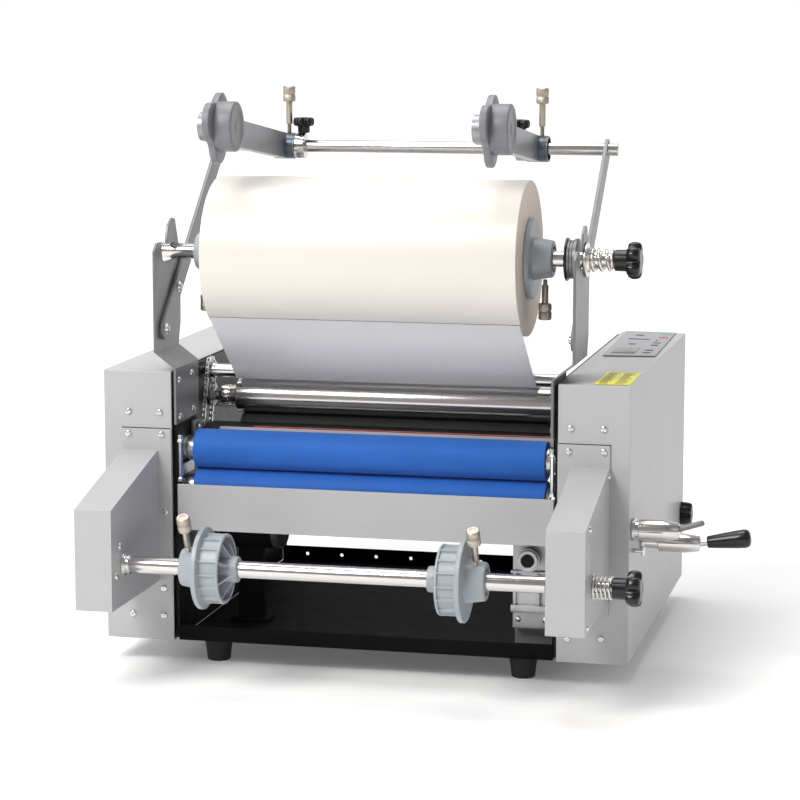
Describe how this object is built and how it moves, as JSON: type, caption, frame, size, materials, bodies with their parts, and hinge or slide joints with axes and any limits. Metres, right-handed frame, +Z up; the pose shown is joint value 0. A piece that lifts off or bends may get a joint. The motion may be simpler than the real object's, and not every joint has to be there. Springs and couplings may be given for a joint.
{
  "type": "roll laminator",
  "caption": "Desktop roll laminator with film supply roll, heated and silicone pull rollers, rewind shaft in front and swinging core take-up arms.",
  "frame": {"origin": "centre of the footprint of the whole machine, on the table it stands on", "axes": "+X along the rollers to the operator's right, where the levers are; +Y from the rewind shaft in front to the back; +Z up"},
  "size_m": [0.7102, 0.636, 0.6376],
  "materials": {
    "housing_paint": "semi-gloss powder coat",
    "bracket_paint": "satin powder coat",
    "black_paint": "satin powder coat",
    "steel": "ground",
    "chrome": "polished",
    "nickel": "nickel plated, knurled",
    "silicone": "matt blue silicone",
    "black_rubber": "matt",
    "black_plastic": "moulded",
    "chuck_plastic": "moulded",
    "plug_plastic": "moulded",
    "arm_paint": "satin paint",
    "film": "translucent laminating film",
    "cast_metal": "as cast",
    "motor_paint": "satin",
    "panel_film": "printed overlay"
  },
  "bodies": {
    "frame": {"base_tray": "black_paint", "front_beam": "housing_paint", "nip_cover": "black_paint", "feed_table": "housing_paint", "gearbox": "cast_metal", "motor": "motor_paint", "drive_chain": "steel", "top_rod": "chrome", "film_web": "film", "control_panel": "panel_film", "power_inlet": "black_plastic", "foot_front_left": "black_rubber", "foot_rear_left": "black_rubber", "housing_left": "housing_paint", "side_plate_left": "black_paint", "roll_bracket_left": "bracket_paint", "rod_arm_left": "bracket_paint", "winder_arm_left": "housing_paint", "foot_front_right": "black_rubber", "foot_rear_right": "black_rubber", "housing_right": "housing_paint", "side_plate_right": "black_paint", "roll_bracket_right": "bracket_paint", "rod_arm_right": "bracket_paint", "winder_arm_right": "housing_paint"},
    "upper_pull_carrier": {"upper_pull_shaft": "steel"},
    "upper_pull_roller": {"upper_pull_sleeve": "silicone"},
    "lower_pull_roller": {"lower_pull_shaft": "steel", "lower_pull_sleeve": "silicone"},
    "heat_roller": {"heat_roller": "chrome"},
    "pressure_carrier": {"rubber_shaft": "steel"},
    "pressure_roller": {"rubber_roller": "black_rubber"},
    "guide_bar": {"guide_bar": "chrome"},
    "drive_shaft": {"drive_shaft": "steel"},
    "film_supply": {"supply_shaft": "chrome", "film_roll": "film", "film_chuck_left": "chuck_plastic", "film_chuck_right": "chuck_plastic", "supply_clutch": "cast_metal"},
    "supply_knob": {"supply_knob": "black_plastic"},
    "rewind": {"winder_shaft": "chrome", "winder_chuck_left": "chuck_plastic", "winder_chuck_right": "chuck_plastic"},
    "winder_knob": {"winder_knob": "black_plastic"},
    "film_screw_left": {"film_screw_left": "nickel"},
    "winder_screw_left": {"winder_screw_left": "nickel"},
    "takeup_arm_left": {"takeup_arm_left": "arm_paint"},
    "core_plug_left": {"core_plug_left": "plug_plastic"},
    "takeup_screw_left": {"takeup_screw_left": "nickel"},
    "collar_knob_left": {"collar_knob_left": "black_plastic"},
    "film_screw_right": {"film_screw_right": "nickel"},
    "winder_screw_right": {"winder_screw_right": "nickel"},
    "takeup_arm_right": {"takeup_arm_right": "arm_paint"},
    "core_plug_right": {"core_plug_right": "plug_plastic"},
    "takeup_screw_right": {"takeup_screw_right": "nickel"},
    "collar_knob_right": {"collar_knob_right": "black_plastic"},
    "front_lever": {"front_lever": "chrome"},
    "rear_lever": {"rear_lever": "chrome"},
    "side_knob": {"side_knob": "black_plastic"},
    "power_switch": {"power_switch": "black_plastic"}
  },
  "joints": [
    {"name": "upper_roller_lift", "type": "slide", "parent": "frame", "child": "upper_pull_carrier", "axis": [0, 0, 1], "range_m": [0, 0.004]},
    {"name": "upper_pull_spin", "type": "hinge", "parent": "upper_pull_carrier", "child": "upper_pull_roller", "pos_m": [-0.06029, -0.12226, 0.2418], "axis": [1, 0, 0], "continuous": true},
    {"name": "lower_pull_spin", "type": "hinge", "parent": "frame", "child": "lower_pull_roller", "pos_m": [-0.06029, -0.12226, 0.1981], "axis": [1, 0, 0], "continuous": true},
    {"name": "heat_roller_spin", "type": "hinge", "parent": "frame", "child": "heat_roller", "pos_m": [-0.06029, -0.02046, 0.2873], "axis": [1, 0, 0], "continuous": true},
    {"name": "pressure_roller_drop", "type": "slide", "parent": "frame", "child": "pressure_carrier", "axis": [0, 0, -1], "range_m": [0, 0.0034]},
    {"name": "pressure_roller_spin", "type": "hinge", "parent": "pressure_carrier", "child": "pressure_roller", "pos_m": [-0.06029, -0.02046, 0.2474], "axis": [1, 0, 0], "continuous": true},
    {"name": "guide_bar_spin", "type": "hinge", "parent": "frame", "child": "guide_bar", "pos_m": [-0.06029, -0.03746, 0.3176], "axis": [1, 0, 0], "continuous": true},
    {"name": "drive_shaft_spin", "type": "hinge", "parent": "frame", "child": "drive_shaft", "pos_m": [-0.06029, -0.07646, 0.19], "axis": [1, 0, 0], "continuous": true},
    {"name": "supply_spin", "type": "hinge", "parent": "frame", "child": "film_supply", "pos_m": [-0.06029, -0.09176, 0.4589], "axis": [1, 0, 0], "continuous": true},
    {"name": "supply_knob_turn", "type": "hinge", "parent": "film_supply", "child": "supply_knob", "pos_m": [0.21971, -0.09176, 0.4589], "axis": [1, 0, 0], "range_deg": [0, 340]},
    {"name": "rewind_spin", "type": "hinge", "parent": "frame", "child": "rewind", "pos_m": [-0.06029, -0.27406, 0.139], "axis": [1, 0, 0], "continuous": true},
    {"name": "winder_knob_turn", "type": "hinge", "parent": "rewind", "child": "winder_knob", "pos_m": [0.24471, -0.27406, 0.139], "axis": [1, 0, 0], "range_deg": [0, 340]},
    {"name": "film_screw_turn_left", "type": "hinge", "parent": "film_supply", "child": "film_screw_left", "pos_m": [-0.25309, -0.09176, 0.4289], "axis": [0, 0, -1], "range_deg": [0, 340]},
    {"name": "winder_screw_turn_left", "type": "hinge", "parent": "rewind", "child": "winder_screw_left", "pos_m": [-0.21679, -0.2925, 0.17718], "axis": [0, -0.435, 0.9004], "range_deg": [0, 340]},
    {"name": "film_screw_turn_right", "type": "hinge", "parent": "film_supply", "child": "film_screw_right", "pos_m": [0.13051, -0.09176, 0.4289], "axis": [0, 0, -1], "range_deg": [0, 340]},
    {"name": "winder_screw_turn_right", "type": "hinge", "parent": "rewind", "child": "winder_screw_right", "pos_m": [0.09421, -0.2925, 0.17718], "axis": [0, -0.435, 0.9004], "range_deg": [0, 340]},
    {"name": "takeup_swing_left", "type": "hinge", "parent": "frame", "child": "takeup_arm_left", "pos_m": [-0.21029, 0.08754, 0.5675], "axis": [1, 0, 0], "range_deg": [-60, 9]},
    {"name": "core_plug_spin_left", "type": "hinge", "parent": "takeup_arm_left", "child": "core_plug_left", "pos_m": [-0.21029, -0.17446, 0.602], "axis": [1, 0, 0], "continuous": true},
    {"name": "takeup_screw_turn_left", "type": "hinge", "parent": "takeup_arm_left", "child": "takeup_screw_left", "pos_m": [-0.20579, 0.08754, 0.5975], "axis": [0, 0, 1], "range_deg": [0, 340]},
    {"name": "collar_knob_turn_left", "type": "hinge", "parent": "frame", "child": "collar_knob_left", "pos_m": [-0.18839, 0.08754, 0.5975], "axis": [0, 0, 1], "range_deg": [0, 340]},
    {"name": "takeup_swing_right", "type": "hinge", "parent": "frame", "child": "takeup_arm_right", "pos_m": [0.08971, 0.08754, 0.5675], "axis": [1, 0, 0], "range_deg": [-60, 9]},
    {"name": "core_plug_spin_right", "type": "hinge", "parent": "takeup_arm_right", "child": "core_plug_right", "pos_m": [0.08971, -0.17446, 0.602], "axis": [1, 0, 0], "continuous": true},
    {"name": "takeup_screw_turn_right", "type": "hinge", "parent": "takeup_arm_right", "child": "takeup_screw_right", "pos_m": [0.09421, 0.08754, 0.5975], "axis": [0, 0, 1], "range_deg": [0, 340]},
    {"name": "collar_knob_turn_right", "type": "hinge", "parent": "frame", "child": "collar_knob_right", "pos_m": [0.06781, 0.08754, 0.5975], "axis": [0, 0, 1], "range_deg": [0, 340]},
    {"name": "front_lever_turn", "type": "hinge", "parent": "frame", "child": "front_lever", "pos_m": [0.23971, -0.13246, 0.173], "axis": [1, 0, 0], "range_deg": [0, 90]},
    {"name": "rear_lever_turn", "type": "hinge", "parent": "frame", "child": "rear_lever", "pos_m": [0.23971, -0.05746, 0.145], "axis": [1, 0, 0], "range_deg": [0, 90]},
    {"name": "side_knob_turn", "type": "hinge", "parent": "frame", "child": "side_knob", "pos_m": [0.23971, 0.29554, 0.109], "axis": [1, 0, 0], "range_deg": [0, 340]},
    {"name": "power_switch_rock", "type": "hinge", "parent": "frame", "child": "power_switch", "pos_m": [0.19571, 0.31404, 0.102], "axis": [1, 0, 0], "range_deg": [0, 14]}
  ],
  "couplings": [
    {"joint": "upper_pull_spin", "follows": "lower_pull_spin", "ratio": -1},
    {"joint": "heat_roller_spin", "follows": "lower_pull_spin", "ratio": -1.1113},
    {"joint": "pressure_roller_spin", "follows": "lower_pull_spin", "ratio": 1.0835},
    {"joint": "guide_bar_spin", "follows": "lower_pull_spin", "ratio": -2.8893},
    {"joint": "drive_shaft_spin", "follows": "lower_pull_spin", "ratio": -2.8893},
    {"joint": "supply_spin", "follows": "lower_pull_spin", "ratio": 0.2552},
    {"joint": "front_lever_turn", "follows": "upper_roller_lift", "rad_per_m": 392.5},
    {"joint": "rear_lever_turn", "follows": "pressure_roller_drop", "rad_per_m": 461.5}
  ]
}
